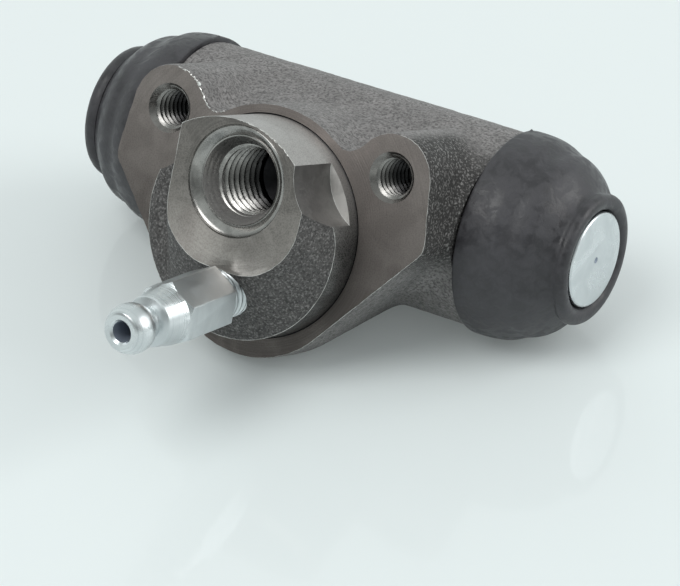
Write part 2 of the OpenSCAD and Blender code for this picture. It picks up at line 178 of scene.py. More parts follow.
class Solid:
    """A mesh object and the modelling steps that every piece uses, in millimetres."""

    WELD = 1e-7

    def __init__(self, obj: Object) -> None:
        """Take hold of an object.

        Args:
            obj: an object with a mesh.
        """
        self.obj = obj

    @classmethod
    def stand(cls, name: str, mesh: Mesh) -> Self:
        """Returns: a mesh put into the scene.

        Args:
            name: the object's name.
            mesh: its mesh.
        """
        obj = bpy.data.objects.new(name, mesh)
        bpy.context.scene.collection.objects.link(obj)
        return cls(obj)

    @classmethod
    def active(cls, name: str) -> Self:
        """Returns: the object that an operator has just made, with its transform applied.

        Args:
            name: the name it gets.
        """
        solid = cls(bpy.context.active_object)
        solid.obj.name = solid.mesh.name = name
        cls.select(solid)
        bpy.ops.object.transform_apply(location=True, rotation=True, scale=True)
        return solid

    @classmethod
    def plot(cls, name: str, points: Sequence, edges: Sequence = (), faces: Sequence = ()) -> Self:
        """Returns: a mesh made from lists.

        Args:
            name: its name.
            points: its vertices, in metres.
            edges: pairs of vertex numbers.
            faces: loops of vertex numbers.
        """
        mesh = bpy.data.meshes.new(name)
        mesh.from_pydata(points, edges, faces)
        return cls.stand(name, mesh)

    @classmethod
    def cylinder(cls, radius: float, start: Triple, end: Triple, sides: int) -> Self:
        """Returns: a cylinder between two points.

        Args:
            radius: its radius.
            start: centre of one end.
            end: centre of the other end.
            sides: facets round it.
        """
        a, b = Vector(start) * MM, Vector(end) * MM
        bpy.ops.mesh.primitive_cylinder_add(
            vertices=sides, radius=radius * MM, depth=(b - a).length, location=(a + b) / 2,
            rotation=(b - a).to_track_quat("Z", "Y").to_euler())
        return cls.active("cylinder")

    @classmethod
    def lathe(cls, name: str, profile: Profile, place: Matrix, sides: int, ring: bool = False) -> Self:
        """Returns: a profile spun about the axis of a place.

        Args:
            name: its name.
            profile: points as (radius, distance along the axis).
            place: where the axis lies.
            sides: steps of the spin.
            ring: whether the profile's last point joins its first.
        """
        last = len(profile) - 1
        edges = [(i, i + 1) for i in range(last)] + ([(last, 0)] if ring else [])
        solid = cls.plot(name, [(r * MM, 0, h * MM) for r, h in profile], edges).open()
        bpy.ops.mesh.spin(steps=sides, angle=FULL_TURN, center=(0, 0, 0), axis=(0, 0, 1))
        solid.close().mesh.transform(place)
        return solid

    @classmethod
    def sleeve(cls, name: str, section: Callable[[float], Profile], place: Matrix, sides: int) -> Self:
        """Returns: a closed section, which may change on the way, bent round the axis of a place.

        Args:
            name: its name.
            section: gives points as (radius, distance along the axis) at an angle.
            place: where the axis lies.
            sides: steps round the axis.
        """
        points, faces = [], []
        for side in range(sides):
            turn = FULL_TURN * side / sides
            ring = section(turn)
            count = len(ring)
            points += [polar(r, turn, h) for r, h in ring]
            near, far = side * count, (side + 1) % sides * count
            for i in range(count):
                j = (i + 1) % count
                faces.append((near + i, far + i, far + j, near + j))
        solid = cls.plot(name, points, faces=faces)
        solid.mesh.transform(place)
        return solid.open().close()

    @classmethod
    def thread(cls, name: str, form: ThreadForm, span: Pair, place: Matrix, sides: int = 72,
               fade: float = 0.0) -> Self:
        """Returns: a threaded rod, for a screw or as the tap that cuts a hole.

        Args:
            name: its name.
            form: the thread.
            span: where the rod starts and ends along its axis.
            place: where the axis lies.
            sides: facets round the rod.
            fade: length at the far end over which the ridges die out.
        """
        start, stop = span
        rows = round((stop - start) / form.pitch * form.rows_per_pitch)
        points, faces = [], []
        for row in range(rows + 1):
            along = start + (stop - start) * row / rows
            strength = min(1.0, (stop - along) / fade) if fade else 1.0
            for side in range(sides):
                turn = side / sides
                radius = form.radius((along / form.pitch - turn) % 1.0, strength)
                points.append(polar(radius, FULL_TURN * turn, along))
        for low in range(0, rows * sides, sides):
            for side in range(sides):
                following = (side + 1) % sides
                faces.append((low + side, low + following, low + sides + following, low + sides + side))
        faces.append(tuple(reversed(range(sides))))
        faces.append(tuple(rows * sides + side for side in range(sides)))
        solid = cls.plot(name, points, faces=faces)
        solid.mesh.transform(place)
        return solid

    @classmethod
    def join(cls, name: str, parts: Sequence[Self]) -> Self:
        """Returns: some solids as one object.

        Args:
            name: its name.
            parts: the solids, which are used up.
        """
        cls.select(*parts)
        bpy.ops.object.join()
        return cls.active(name)

    @classmethod
    def hull(cls, parts: Sequence[Self]) -> Self:
        """Returns: one convex skin round some solids.

        Args:
            parts: the solids, which are used up.
        """
        solid = cls.join("hull", parts).open()
        bpy.ops.mesh.convex_hull()
        return solid.close()

    @staticmethod
    def select(*solids: "Solid") -> None:
        """Select these solids alone, the first one active.

        Args:
            solids: what is selected.
        """
        bpy.ops.object.select_all(action="DESELECT")
        for solid in solids:
            solid.obj.select_set(True)
        bpy.context.view_layer.objects.active = solids[0].obj

    @property
    def mesh(self) -> Mesh:
        """The solid's mesh."""
        return self.obj.data

    @property
    def triangles(self) -> int:
        """How many triangles the mesh comes to."""
        return sum(len(polygon.vertices) - 2 for polygon in self.mesh.polygons)

    def open(self) -> Self:
        """Returns: the solid in edit mode, with everything selected."""
        self.select(self)
        bpy.ops.object.mode_set(mode="EDIT")
        bpy.ops.mesh.select_all(action="SELECT")
        return self

    def close(self) -> Self:
        """Returns: the solid out of edit mode, welded and with its normals outwards."""
        bpy.ops.mesh.select_all(action="SELECT")
        bpy.ops.mesh.remove_doubles(threshold=self.WELD)
        bpy.ops.mesh.normals_make_consistent(inside=False)
        bpy.ops.object.mode_set(mode="OBJECT")
        return self

    def slice(self, point: Triple, normal: Triple) -> Self:
        """Returns: the solid without what lies on the side that a plane's normal points to.

        Args:
            point: a point of the plane.
            normal: the plane's normal.
        """
        self.open()
        bpy.ops.mesh.bisect(plane_co=Vector(point) * MM, plane_no=normal, use_fill=True, clear_outer=True)
        return self.close()

    def modify(self, kind: str, **settings: object) -> Self:
        """Returns: the solid with one modifier applied.

        Args:
            kind: the modifier's type.
            settings: its values.
        """
        modifier = self.obj.modifiers.new(kind.lower(), kind)
        for key, value in settings.items():
            setattr(modifier, key, value)
        self.select(self)
        bpy.ops.object.modifier_apply(modifier=modifier.name)
        return self

    def carve(self, tool: "Solid", cut: Cut = Cut.TAKE_AWAY) -> Self:
        """Returns: the solid combined with a tool, whose finish stays on the faces that it makes.

        Args:
            tool: the tool, which is used up.
            cut: what the tool does.
        """
        self.modify("BOOLEAN", object=tool.obj, operation=cut.value, solver="MANIFOLD",
                    material_mode="TRANSFER")
        bpy.data.objects.remove(tool.obj)
        return self

    def paint(self, material: Material, pick: Picker = lambda polygon: True) -> Self:
        """Returns: the solid with a finish on its faces.

        Args:
            material: the finish.
            pick: tells which faces take it.
        """
        slots = self.mesh.materials
        if material.name not in slots:
            slots.append(material)
        index = slots.find(material.name)
        for polygon in self.mesh.polygons:
            if pick(polygon):
                polygon.material_index = index
        return self

    def shade(self, degrees: float) -> Self:
        """Returns: the solid shaded smooth, with edges sharper than an angle left crisp.

        Args:
            degrees: the angle.
        """
        self.select(self)
        bpy.ops.object.shade_smooth_by_angle(angle=math.radians(degrees))
        return self

    def turn_to(self, end: End) -> Self:
        """Returns: a solid made for the right end, mirrored if it belongs to the left one.

        Args:
            end: where it belongs.
        """
        if end is End.LEFT:
            self.mesh.transform(Matrix.Scale(-1, 4, (1, 0, 0)))
            self.mesh.flip_normals()
        return self


class Wiring:
    """Short way to lay nodes in a tree."""

    def __init__(self, tree: NodeTree) -> None:
        """Start on an empty tree.

        Args:
            tree: the tree.
        """
        self.tree = tree
        self.tree.nodes.clear()

    def feed(self, socket: NodeSocket, value: object) -> None:
        """Fill one input.

        Args:
            socket: the input.
            value: a value or the socket that it is linked to.
        """
        if isinstance(value, NodeSocket):
            self.tree.links.new(value, socket)
        else:
            socket.default_value = value

    def node(self, kind: str, inputs: dict | None = None, **settings: object) -> Node:
        """Returns: a new node.

        Args:
            kind: its type, without the words ShaderNode.
            inputs: values or sockets for its inputs.
            settings: its own values.
        """
        made = self.tree.nodes.new(kind if kind.startswith("Node") else "ShaderNode" + kind)
        for key, value in settings.items():
            setattr(made, key, value)
        for key, value in (inputs or {}).items():
            self.feed(made.inputs[key], value)
        return made

    def math(self, operation: str, *values: object) -> NodeSocket:
        """Returns: the result of one sum.

        Args:
            operation: the Math node's operation.
            values: numbers or sockets.
        """
        return self.node("Math", dict(enumerate(values)), operation=operation).outputs[0]

    def vector(self, operation: str, *values: object) -> NodeSocket:
        """Returns: the result of one sum with vectors, a number for a length or a dot product.

        Args:
            operation: the Vector Math node's operation.
            values: vectors or sockets.
        """
        made = self.node("VectorMath", dict(enumerate(values)), operation=operation)
        return made.outputs[1 if operation in ("LENGTH", "DOT_PRODUCT") else 0]

    def away(self, point: NodeSocket, centre: object) -> NodeSocket:
        """Returns: the way to a point from an axis along Y, at right angles to it.

        Args:
            point: the point.
            centre: where the axis lies.
        """
        return self.vector("MULTIPLY", self.vector("SUBTRACT", point, centre), (1, 0, 1))

    def ramp(self, value: NodeSocket, span: Pair, to: Pair = (0.0, 1.0)) -> NodeSocket:
        """Returns: a value stretched smoothly from one range to another.

        Args:
            value: the socket.
            span: the range it comes from.
            to: the range it goes to.
        """
        inputs = dict(enumerate((value, *span, *to)))
        return self.node("MapRange", inputs, interpolation_type="SMOOTHSTEP").outputs[0]

    def noise(self, point: NodeSocket, scale: object, **inputs: float) -> NodeSocket:
        """Returns: the value of a noise texture.

        Args:
            point: where it is looked up.
            scale: its scale.
            inputs: its other values.
        """
        values = {"Vector": point, "Scale": scale} | inputs
        return self.node("TexNoise", values).outputs[0]

    def blend(self, share: object, first: object, second: object, amount: object = None) -> NodeSocket:
        """Returns: a colour between two colours.

        Args:
            share: how much of the second.
            first: a colour or socket.
            second: a colour or socket.
            amount: what the share is multiplied by, if anything.
        """
        if amount is not None:
            share = self.math("MULTIPLY", share, amount)
        first, second = (c if isinstance(c, NodeSocket) else (*c, 1.0) for c in (first, second))
        return self.node("Mix", {0: share, 6: first, 7: second}, data_type="RGBA").outputs[2]

    def seen(self) -> NodeSocket:
        """Returns: 1 for rays of the camera and of mirrors or glass, else 0."""
        path = self.node("LightPath").outputs
        direct = self.math("MAXIMUM", path["Is Camera Ray"], path["Is Glossy Ray"])
        return self.math("MAXIMUM", direct, path["Is Transmission Ray"])


class Effects:
    """Shared surface effects, each a node group made once. They give masks and heights only."""

    VECTORS = ("Vector", "Centre", "Axis")

    @classmethod
    def _group(cls, name: str, takes: Sequence[str], gives: Sequence[str]) -> tuple:
        """Returns: a new group's wiring, what it is given and what it gives.

        Args:
            name: its name.
            takes: names of its inputs.
            gives: names of its outputs.
        """
        tree = bpy.data.node_groups.new(name, "ShaderNodeTree")
        for direction, labels in (("INPUT", takes), ("OUTPUT", gives)):
            for label in labels:
                kind = "NodeSocketVector" if label in cls.VECTORS else "NodeSocketFloat"
                tree.interface.new_socket(label, in_out=direction, socket_type=kind)
        w = Wiring(tree)
        return w, w.node("NodeGroupInput").outputs, w.node("NodeGroupOutput").inputs

    @classmethod
    @cache
    def grain(cls) -> NodeTree:
        """Returns: the skin of a sand casting, as height, bright flecks and dark pits."""
        w, taken, given = cls._group("cast_grain", ("Vector", "Scale"), ("Height", "Fleck", "Pit"))
        at, scale = taken["Vector"], taken["Scale"]
        fine = w.noise(at, scale, Detail=5.0, Roughness=0.62)
        lumps = w.node("TexVoronoi", {"Vector": at, "Scale": w.math("MULTIPLY", scale, 0.55)},
                       feature="SMOOTH_F1").outputs[0]
        broad = w.noise(at, w.math("MULTIPLY", scale, 0.16), Detail=2.0)
        height = w.math("ADD", w.math("MULTIPLY", fine, 0.7), w.math("MULTIPLY", lumps, -0.45))
        spots = w.noise(at, w.math("MULTIPLY", scale, 1.3), Detail=3.0)
        w.feed(given["Height"], w.math("ADD", height, w.math("MULTIPLY", broad, 0.8)))
        w.feed(given["Fleck"], w.ramp(spots, (0.48, 0.70)))
        w.feed(given["Pit"], w.ramp(fine, (0.57, 0.36)))
        return w.tree

    @classmethod
    @cache
    def rings(cls) -> NodeTree:
        """Returns: the marks of turning about an axis along Y, as height and tone."""
        w, taken, given = cls._group("tool_rings", ("Vector", "Centre", "Pitch"), ("Height", "Tone"))
        radius = w.vector("LENGTH", w.away(taken["Vector"], taken["Centre"]))
        cls._marks(w, w.math("DIVIDE", radius, taken["Pitch"]), given)
        return w.tree

    @classmethod
    @cache
    def lines(cls) -> NodeTree:
        """Returns: the marks of turning along an axis, as height and tone."""
        w, taken, given = cls._group("turned_lines", ("Vector", "Axis", "Pitch"), ("Height", "Tone"))
        along = w.vector("DOT_PRODUCT", taken["Vector"], taken["Axis"])
        cls._marks(w, w.math("DIVIDE", along, taken["Pitch"]), given)
        return w.tree

    @staticmethod
    def _marks(w: Wiring, turns: NodeSocket, given: object) -> None:
        """Turn a count of tool passes into height and tone.

        Args:
            w: the group's wiring.
            turns: how many passes lie before a point.
            given: the group's outputs.
        """
        line = w.node("TexNoise", {"W": turns, "Scale": 1.0, "Detail": 3.0, "Roughness": 0.6},
                      noise_dimensions="1D").outputs[0]
        wave = w.math("SINE", w.math("MULTIPLY", turns, FULL_TURN))
        w.feed(given["Height"], w.math("ADD", w.math("MULTIPLY", wave, 0.25), line))
        w.feed(given["Tone"], line)

    @classmethod
    @cache
    def cloud(cls) -> NodeTree:
        """Returns: soft uneven patches, for dust, bloom and handling marks."""
        w, taken, given = cls._group("handling", ("Vector", "Scale"), ("Patch",))
        patch = w.noise(taken["Vector"], taken["Scale"], Detail=4.0, Distortion=0.6)
        w.feed(given["Patch"], w.ramp(patch, (0.36, 0.66)))
        return w.tree


class Surface(Wiring):
    """One material under construction: its nodes, its object coordinates and its shader."""

    def __init__(self, name: str) -> None:
        """Start an empty material.

        Args:
            name: the material's name.
        """
        self.material = bpy.data.materials.new(name)
        self.material.use_nodes = True
        super().__init__(self.material.node_tree)
        self.at = self.node("TexCoord").outputs["Object"]
        self.shader = self.node("BsdfPrincipled")
        self.out = self.node("OutputMaterial", {"Surface": self.shader.outputs[0]})

    def effect(self, group: NodeTree, **inputs: object) -> object:
        """Returns: the outputs of a shared effect.

        Args:
            group: the effect.
            inputs: its values.
        """
        values = {"Vector": self.at} | {key.capitalize(): value for key, value in inputs.items()}
        return self.node("Group", values, node_tree=group).outputs

    def patches(self, scale: float) -> NodeSocket:
        """Returns: soft uneven patches.

        Args:
            scale: how fine they are.
        """
        return self.effect(Effects.cloud(), scale=scale)["Patch"]

    def band(self, axis: int, span: Pair, high: float = 1.0) -> NodeSocket:
        """Returns: a mask that rises along one axis of the part.

        Args:
            axis: 0, 1 or 2 for X, Y or Z.
            span: where it is 0 and where it is full.
            high: its full value.
        """
        place = self.node("SeparateXYZ", {0: self.at}).outputs[axis]
        return self.ramp(place, (span[0] * MM, span[1] * MM), (0.0, high))

    def around(self, mask: NodeSocket, value: float, below: float, above: float) -> NodeSocket:
        """Returns: a value that varies with a mask.

        Args:
            mask: from 0 to 1.
            value: the value.
            below: how far it falls short at 0.
            above: how far it goes beyond at 1.
        """
        return self.ramp(mask, (0.0, 1.0), (value - below, value + above))

    def set(self, **inputs: object) -> Material:
        """Returns: the material, once the shader's inputs are filled.

        Args:
            inputs: socket names with underscores for spaces, and values or sockets.
        """
        for key, value in inputs.items():
            self.feed(self.shader.inputs[key.replace("_", " ")], value)
        return self.material

    def relief(self, height: NodeSocket, distance: float) -> NodeSocket:
        """Returns: a normal for a height.

        Args:
            height: the height socket.
            distance: how many millimetres one unit of height stands.
        """
        inputs = {"Height": height, "Distance": distance * MM, "Strength": 1.0}
        return self.node("Bump", inputs).outputs[0]


@dataclass(frozen=True)
class CastIron:
    """Rough sand-cast grey iron, with painted shade beside the right ear and on the port boss's front
    flank.
    """

    name: str = "cast_iron_skin"
    pale: Triple = (0.285, 0.274, 0.268)
    dark: Triple = (0.094, 0.090, 0.088)
    # colour of the painted shade beside the right ear and on the port boss's front flank
    painted_shade: Triple = (0.017, 0.016, 0.015)
    fleck: Triple = (0.37, 0.361, 0.348)
    grain: float = 2600.0
    relief: float = 0.21
    roughness: float = 0.62
    polish: float = 0.22
    metallic: float = 0.25
    patch_scale: float = 90.0
    patching: float = 0.22
    mottle_scale: float = 0.28
    mottling: float = 0.34
    mottle_depth: float = -0.35
    painted_shading: float = 0.92
    glint: Pair = (0.10, 0.44)
    ear_shade: tuple[Pair, Pair, Pair] = ((17.5, 20.0), (15, 9), (-2, 3))
    boss_shade: Pair = (-2.5, -4.5)
    boss_shading: float = 0.72

    def build(self) -> Material:
        """Returns: the material."""
        s = Surface(self.name)
        grain = s.effect(Effects.grain(), scale=self.grain)
        mottle = s.patches(self.grain * self.mottle_scale)
        shade_mask = self._painted_shade_mask(s)
        base = s.blend(grain["Pit"], self.pale, self.dark)
        base = s.blend(s.patches(self.patch_scale), base, self.dark, self.patching)
        base = s.blend(mottle, base, self.dark, self.mottling)
        # painted shade: the skin is darkened beside the right ear and on the port boss's front flank
        base = s.blend(shade_mask, base, self.painted_shade, self.painted_shading)
        dry, in_shade = self.glint
        glint = s.math("ADD", s.math("MULTIPLY", shade_mask, in_shade), dry)
        base = s.blend(grain["Fleck"], base, self.fleck, glint)
        height = s.math("ADD", grain["Height"], s.math("MULTIPLY", mottle, self.mottle_depth))
        return s.set(Base_Color=base, Metallic=self.metallic,
                     Roughness=s.around(grain["Fleck"], self.roughness, 0.0, -self.polish),
                     Normal=s.relief(height, self.relief))

    def _painted_shade_mask(self, s: Surface) -> NodeSocket:
        """Returns: a mask of painted shade, beside the right ear where the boot keeps light off and on the
        port boss's front flank.

        Args:
            s: the material under construction.
        """
        x, y, z = (s.band(axis, span) for axis, span in enumerate(self.ear_shade))
        beside = s.math("MULTIPLY", s.math("MULTIPLY", x, z), y)
        return s.math("MAXIMUM", beside, s.band(1, self.boss_shade, self.boss_shading))


@dataclass(frozen=True)
class MachinedIron:
    """Iron cut by a tool that left rings about an axis along Y, with random stains and painted shade that
    darkens it towards one end of Z.
    """

    name: str
    colour: Triple
    stain_and_shade: Triple
    roughness: float
    painted_shade_span: Pair
    centre: Pair = (0.0, 0.0)
    pitch: float = 0.30
    relief: float = 0.012
    brushing: float = 0.6
    metallic: float = 0.85
    staining: float = 0.4
    pitting: float = 0.30
    painted_shade_depth: float = 0.75
    patch_scale: float = 240.0
    pit_scale: float = 5200.0
    ring_tone: Pair = (0.25, 0.75)
    ring_depth: float = 0.35
    ring_dim: float = 0.62
    spread: Pair = (0.05, 0.07)

    def build(self) -> Material:
        """Returns: the material."""
        s = Surface(self.name)
        centre = (self.centre[0] * MM, 0, self.centre[1] * MM)
        rings = s.effect(Effects.rings(), centre=centre, pitch=self.pitch * MM)
        patch = s.patches(self.patch_scale)
        pits = s.effect(Effects.grain(), scale=self.pit_scale)["Pit"]
        stain_and_shade = s.math("ADD", s.math("MULTIPLY", patch, self.staining),
                       s.math("MULTIPLY", pits, self.pitting))
        # painted shade: the colour darkens towards one end of Z
        stain_and_shade = s.math("ADD", stain_and_shade, s.band(2, self.painted_shade_span, self.painted_shade_depth))
        base = s.blend(s.math("MINIMUM", stain_and_shade, 1.0), self.colour, self.stain_and_shade)
        tone = s.ramp(rings["Tone"], self.ring_tone, (0.0, self.ring_depth))
        base = s.blend(tone, base, tuple(c * self.ring_dim for c in self.colour))
        across = s.node("VectorTransform", {0: s.away(s.at, centre)}, vector_type="VECTOR",
                        convert_from="OBJECT", convert_to="WORLD").outputs[0]
        return s.set(Base_Color=base, Metallic=self.metallic, Anisotropic=self.brushing,
                     Roughness=s.around(patch, self.roughness, *self.spread),
                     Tangent=s.vector("NORMALIZE", across),
                     Normal=s.relief(rings["Height"], self.relief))


@dataclass(frozen=True)
class PlainMetal:
    """Metal with fine uneven tone and no clear direction, with painted shade deep inside a hole."""

    name: str
    colour: Triple
    shade: Triple
    roughness: float
    metallic: float = 1.0
    scale: float = 420.0
    relief: float = 0.006
    deep: Pair | None = None
    painted_shade: Triple = (0.012, 0.012, 0.014)
    painted_shading: float = 0.92
    grain_scale: float = 6.0
    spread: float = 0.10

    def build(self) -> Material:
        """Returns: the material."""
        s = Surface(self.name)
        grain = s.effect(Effects.grain(), scale=self.scale * self.grain_scale)
        base = s.blend(s.patches(self.scale), self.colour, self.shade)
        if self.deep:
            # painted shade: the colour darkens towards the inner end of a hole
            base = s.blend(s.band(1, self.deep, self.painted_shading), base, self.painted_shade)
        return s.set(Base_Color=base, Metallic=self.metallic,
                     Roughness=s.around(grain["Pit"], self.roughness, 0.0, self.spread),
                     Normal=s.relief(grain["Height"], self.relief))


@dataclass(frozen=True)
class BrightZinc:
    """Turned steel with a bright zinc plating."""

    name: str
    axis: Triple
    colour: Triple = (0.68, 0.712, 0.722)
    shade: Triple = (0.52, 0.552, 0.565)
    roughness: float = 0.28
    pitch: float = 0.26
    relief: float = 0.012
    lining: float = 0.7
    line_tone: Pair = (0.45, 0.75)
    patch_scale: float = 210.0
    patching: float = 0.6
    spread: Pair = (0.03, 0.06)

    def build(self) -> Material:
        """Returns: the material."""
        s = Surface(self.name)
        lines = s.effect(Effects.lines(), axis=self.axis, pitch=self.pitch * MM)
        patch = s.patches(self.patch_scale)
        base = s.blend(patch, self.colour, self.shade, self.patching)
        base = s.blend(s.ramp(lines["Tone"], self.line_tone, (0.0, self.lining)), base, self.shade)
        return s.set(Base_Color=base, Metallic=1.0,
                     Roughness=s.around(patch, self.roughness, *self.spread),
                     Normal=s.relief(lines["Height"], self.relief))


@dataclass(frozen=True)
class Rubber:
    """Moulded black rubber with a little bloom and dust."""

    name: str = "boot_rubber_skin"
    colour: Triple = (0.022, 0.021, 0.024)
    bloom: Triple = (0.086, 0.085, 0.093)
    dust: Triple = (0.30, 0.30, 0.30)
    roughness: float = 0.45
    spread: Pair = (0.10, 0.12)
    patch_scale: float = 110.0
    patching: float = 0.28
    mottle_scale: float = 660.0
    mottling: float = 0.36
    mottle_height: float = 0.6
    grain: float = 2200.0
    dusting: float = 0.02
    sheen: float = 0.5
    relief: float = 0.034

    def build(self) -> Material:
        """Returns: the material."""
        s = Surface(self.name)
        mottle = s.patches(self.mottle_scale)
        grain = s.effect(Effects.grain(), scale=self.grain)
        base = s.blend(s.patches(self.patch_scale), self.colour, self.bloom, self.patching)
        base = s.blend(mottle, base, self.bloom, self.mottling)
        base = s.blend(grain["Fleck"], base, self.dust, self.dusting)
        height = s.math("ADD", grain["Height"], s.math("MULTIPLY", mottle, self.mottle_height))
        return s.set(Base_Color=base, Specular_IOR_Level=self.sheen,
                     Roughness=s.around(mottle, self.roughness, *self.spread),
                     Normal=s.relief(height, self.relief))


class Finishes:
    """Every material of the part, made once."""

    PORT = (1.4, 6.85)
    BORE_AXIS = (1.0, 0.0, 0.0)
    BLEEDER_AXIS = (0.0, -0.98714, -0.15988)

    def __init__(self) -> None:
        """Make them."""
        self.cast = CastIron().build()
        self.flange = MachinedIron(
            "turned_flange", (0.285, 0.254, 0.236), (0.112, 0.098, 0.090), 0.44, (15.0, -8.0),
            pitch=0.34, relief=0.02, brushing=0.45, metallic=0.6, staining=0.25).build()
        self.pilot = MachinedIron(
            "turned_pilot", (0.42, 0.405, 0.390), (0.020, 0.019, 0.018), 0.42, (9.5, 0.0),
            metallic=0.6, brushing=0.0, staining=0.05).build()
        self.port = MachinedIron(
            "turned_port_face", (0.475, 0.436, 0.408), (0.160, 0.149, 0.140), 0.36, (-4.0, 9.0),
            centre=self.PORT, brushing=0.85, metallic=1.0, staining=0.25).build()
        self.throat = MachinedIron(
            "turned_throat", (0.56, 0.546, 0.525), (0.085, 0.083, 0.08), 0.32, (3.0, 11.5),
            centre=self.PORT, brushing=0.0, metallic=0.65, staining=0.2).build()
        self.scallop = PlainMetal(
            "scallop_wall", (0.190, 0.185, 0.179), (0.150, 0.146, 0.142), 0.38, 0.8).build()
        # the ledge's pale colour is partly its own brighter cut face, partly painted light on the face
        # turned to the lamps
        self.ledge = PlainMetal(
            "scallop_ledge", (0.78, 0.755, 0.72), (0.60, 0.58, 0.55), 0.42, 0.5).build()
        self.chamfer = PlainMetal(
            "turned_chamfer", (0.35, 0.34, 0.327), (0.25, 0.243, 0.233), 0.20).build()
        self.countersink = PlainMetal(
            "bolt_countersink", (0.235, 0.224, 0.214), (0.165, 0.156, 0.149), 0.26).build()
        self.hole = PlainMetal(
            "drilled_iron", (0.16, 0.157, 0.152), (0.11, 0.107, 0.103), 0.30, deep=(-6.0, 1.0)).build()
        self.port_thread = PlainMetal(
            "tapped_port", (0.44, 0.429, 0.411), (0.30, 0.292, 0.279), 0.24, 0.8, deep=(-5.5, 2.0)).build()
        self.bolt_thread = PlainMetal(
            "tapped_bolt_hole", (0.32, 0.312, 0.298), (0.22, 0.214, 0.204), 0.24, 0.8,
            deep=(0.8, 6.0)).build()
        self.burr = PlainMetal(
            "burred_edge", (0.88, 0.87, 0.85), (0.45, 0.44, 0.42), 0.30, scale=900.0).build()
        self.rubber = Rubber().build()
        self.seal = Rubber(
            "seal_rubber_skin", (0.018, 0.018, 0.020), (0.03, 0.03, 0.033), roughness=0.4).build()
        self.nipple = BrightZinc("bright_zinc_nipple", self.BLEEDER_AXIS).build()
        self.hexagon = BrightZinc(
            "bright_zinc_hexagon", self.BLEEDER_AXIS, relief=0.0004, pitch=0.9, roughness=0.34,
            lining=0.1).build()
        self.drilling_and_shade = PlainMetal(
            "drilled_zinc", (0.34, 0.39, 0.46), (0.26, 0.30, 0.36), 0.45, 0.3).build()
        self.zinc = BrightZinc("bright_zinc", self.BORE_AXIS, relief=0.004).build()
        self.pressed = PlainMetal("yellow_zinc", (0.62, 0.55, 0.32), (0.50, 0.46, 0.34), 0.30).build()
        self.wire = PlainMetal("spring_wire", (0.42, 0.43, 0.44), (0.33, 0.34, 0.35), 0.32).build()


